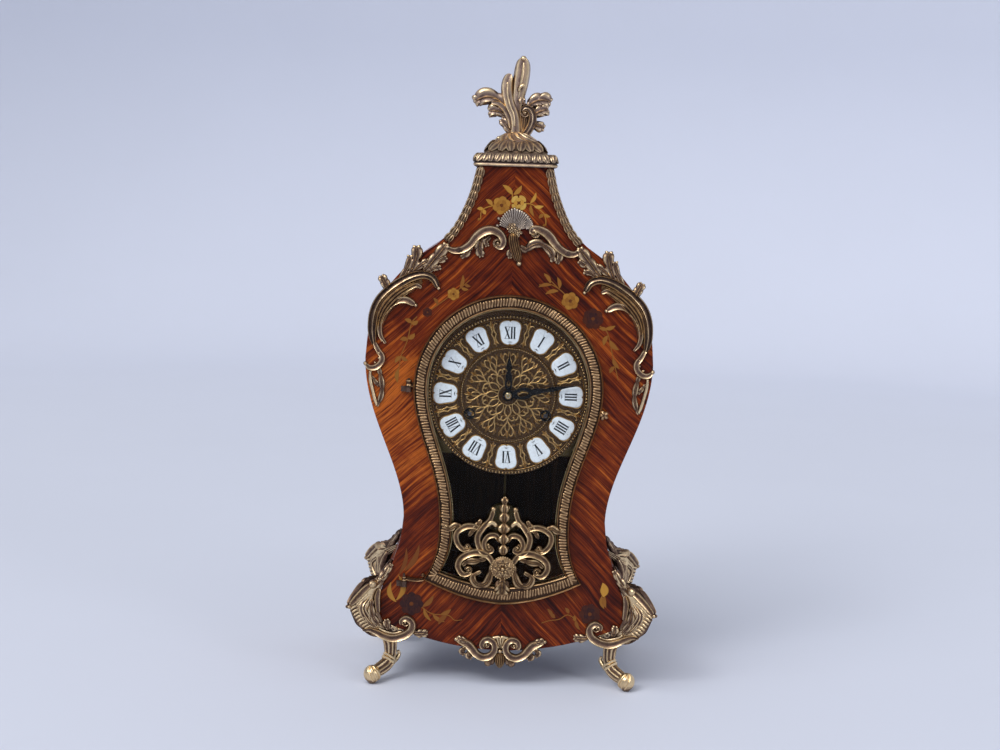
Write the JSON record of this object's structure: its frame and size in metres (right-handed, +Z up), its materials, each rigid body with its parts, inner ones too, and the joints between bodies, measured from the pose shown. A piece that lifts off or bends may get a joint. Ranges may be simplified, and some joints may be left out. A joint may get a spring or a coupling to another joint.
{
  "type": "cartel clock",
  "caption": "Free-standing cartel clock with a waisted veneered case, cast mounts on scroll feet, a glazed front door, pressed dial with numeral plaques, and a striking pendulum movement.",
  "frame": {"origin": "on the floor, under the middle of the case", "axes": "+Z up, the dial and front door face -Y, +X is to the right of someone facing the dial"},
  "size_m": [0.2848, 0.1948, 0.5802],
  "materials": {
    "veneer": "glossy quarter-matched reddish veneer with floral marquetry",
    "carcass": "plain satin wood",
    "antique_bronze": "cast, antiqued, bright on the high spots",
    "brass": "polished clock brass",
    "dial_brass": "pressed and darkened brass",
    "steel": "bright steel",
    "black_steel": "blackened steel",
    "enamel": "white vitreous enamel with black numerals",
    "glass": "clear flat glass"
  },
  "bodies": {
    "case": {"case_sides": "veneer", "front_board": "veneer", "back_board": "carcass", "top_board": "carcass", "base_board": "carcass", "back_hinge_pins": "brass", "door_hinge_lugs": "antique_bronze", "dial_plate": "dial_brass", "numeral_plaques": "enamel", "winding_eyelets": "black_steel", "front_plate": "brass", "back_plate": "brass", "plate_pillars": "brass", "dial_feet": "brass", "bell": "brass", "bell_post": "steel", "suspension": "brass", "finial": "antique_bronze", "cap_moulding": "antique_bronze", "neck_mounts": "antique_bronze", "crest_mount": "antique_bronze", "shoulder_mounts": "antique_bronze", "corner_feet": "antique_bronze", "apron_mount": "antique_bronze", "screws_and_studs": "brass"},
    "front_door": {"door_bezel": "antique_bronze", "door_glass": "glass", "glass_retainer": "brass", "door_fret": "antique_bronze"},
    "back_door": {"back_door": "carcass", "back_hinge_leaves": "brass"},
    "turn_button": {"turn_button": "brass"},
    "minute": {"cannon_pinion": "steel", "minute_hand": "black_steel", "hand_nut": "brass"},
    "minute_wheel": {"minute_wheel": "brass"},
    "hour": {"hour_wheel": "brass", "hour_hand": "black_steel"},
    "going_barrel": {"going_barrel": "brass", "going_mainspring": "steel"},
    "going_winding": {"going_winding_arbor": "steel"},
    "going_click": {"going_click": "steel"},
    "centre_wheel": {"centre_wheel": "brass"},
    "third_wheel": {"third_wheel": "brass"},
    "escape_wheel": {"escape_wheel": "brass"},
    "anchor": {"pallet_anchor": "steel", "crutch": "steel"},
    "strike_barrel": {"strike_barrel": "brass", "strike_mainspring": "steel", "count_wheel": "brass"},
    "strike_winding": {"strike_winding_arbor": "steel"},
    "strike_click": {"strike_click": "steel"},
    "pin_wheel": {"pin_wheel": "brass"},
    "warning_wheel": {"warning_wheel": "brass"},
    "fly": {"fly": "brass"},
    "strike_lever": {"strike_lever": "steel"},
    "hammer": {"hammer": "steel"},
    "pendulum": {"pendulum_rod": "brass", "pendulum_bob": "brass", "rating_nut": "brass"}
  },
  "joints": [
    {"name": "front_door_hinge", "type": "hinge", "parent": "case", "child": "front_door", "pos_m": [-0.09, -0.0738, 0.19], "axis": [0, 0, -1], "range_deg": [0, 105]},
    {"name": "back_door_hinge", "type": "hinge", "parent": "case", "child": "back_door", "pos_m": [0.075, 0.0724, 0.19], "axis": [0, 0, -1], "range_deg": [0, 110]},
    {"name": "turn_button_pivot", "type": "hinge", "parent": "case", "child": "turn_button", "pos_m": [-0.077, 0.072, 0.196], "axis": [0, -1, 0], "range_deg": [0, 90]},
    {"name": "minute_turn", "type": "hinge", "parent": "case", "child": "minute", "pos_m": [0, -0.025, 0.271], "axis": [0, 1, 0], "continuous": true},
    {"name": "minute_wheel_turn", "type": "hinge", "parent": "case", "child": "minute_wheel", "pos_m": [0.00679, -0.025, 0.25823], "axis": [0, 1, 0], "continuous": true},
    {"name": "hour_turn", "type": "hinge", "parent": "case", "child": "hour", "pos_m": [0, -0.025, 0.271], "axis": [0, 1, 0], "continuous": true},
    {"name": "third_turn", "type": "hinge", "parent": "case", "child": "third_wheel", "pos_m": [-0.02014, -0.025, 0.295], "axis": [0, 1, 0], "continuous": true},
    {"name": "centre_turn", "type": "hinge", "parent": "case", "child": "centre_wheel", "pos_m": [0, -0.025, 0.271], "axis": [0, 1, 0], "continuous": true},
    {"name": "going_barrel_turn", "type": "hinge", "parent": "case", "child": "going_barrel", "pos_m": [0.0346, -0.025, 0.253], "axis": [0, 1, 0], "continuous": true},
    {"name": "escape_turn", "type": "hinge", "parent": "case", "child": "escape_wheel", "pos_m": [0, -0.025, 0.30912], "axis": [0, 1, 0], "continuous": true},
    {"name": "going_winding_turn", "type": "hinge", "parent": "case", "child": "going_winding", "pos_m": [0.0346, -0.025, 0.253], "axis": [0, 1, 0], "continuous": true},
    {"name": "going_click_pivot", "type": "hinge", "parent": "case", "child": "going_click", "pos_m": [0.0396, -0.051, 0.237], "axis": [0, -1, 0], "range_deg": [0, 12]},
    {"name": "pin_turn", "type": "hinge", "parent": "case", "child": "pin_wheel", "pos_m": [-0.05455, -0.025, 0.28493], "axis": [0, 1, 0], "continuous": true},
    {"name": "strike_barrel_turn", "type": "hinge", "parent": "case", "child": "strike_barrel", "pos_m": [-0.0346, -0.025, 0.253], "axis": [0, 1, 0], "continuous": true},
    {"name": "warning_turn", "type": "hinge", "parent": "case", "child": "warning_wheel", "pos_m": [-0.05029, -0.025, 0.30496], "axis": [0, 1, 0], "continuous": true},
    {"name": "fly_turn", "type": "hinge", "parent": "case", "child": "fly", "pos_m": [-0.03836, -0.025, 0.31571], "axis": [0, 1, 0], "continuous": true},
    {"name": "strike_winding_turn", "type": "hinge", "parent": "case", "child": "strike_winding", "pos_m": [-0.0346, -0.025, 0.253], "axis": [0, 1, 0], "continuous": true},
    {"name": "strike_click_pivot", "type": "hinge", "parent": "case", "child": "strike_click", "pos_m": [-0.0396, -0.051, 0.237], "axis": [0, 1, 0], "range_deg": [0, 12]},
    {"name": "strike_lever_lift", "type": "hinge", "parent": "case", "child": "strike_lever", "pos_m": [-0.072, -0.025, 0.243], "axis": [0, -1, 0], "range_deg": [0, 8]},
    {"name": "hammer_swing", "type": "hinge", "parent": "case", "child": "hammer", "pos_m": [-0.016, 0.011, 0.301], "axis": [0, 1, 0], "range_deg": [0, 5]},
    {"name": "pendulum_swing", "type": "hinge", "parent": "case", "child": "pendulum", "pos_m": [0, 0.0092, 0.334], "axis": [0, 1, 0], "range_deg": [-3.5, 3.5]},
    {"name": "anchor_swing", "type": "hinge", "parent": "case", "child": "anchor", "pos_m": [0, 0, 0.334], "axis": [0, 1, 0], "range_deg": [-3.5, 3.5]}
  ],
  "couplings": [
    {"joint": "minute_wheel_turn", "follows": "minute_turn", "ratio": -0.33333},
    {"joint": "hour_turn", "follows": "minute_turn", "ratio": 0.083333},
    {"joint": "centre_turn", "follows": "third_turn", "ratio": -0.083333},
    {"joint": "going_barrel_turn", "follows": "third_turn", "ratio": 0.010417},
    {"joint": "escape_turn", "follows": "third_turn", "ratio": -11.25},
    {"joint": "strike_barrel_turn", "follows": "warning_turn", "ratio": 0.014815},
    {"joint": "pin_turn", "follows": "warning_turn", "ratio": -0.13333},
    {"joint": "fly_turn", "follows": "warning_turn", "ratio": -7},
    {"joint": "anchor_swing", "follows": "pendulum_swing", "ratio": 1}
  ]
}
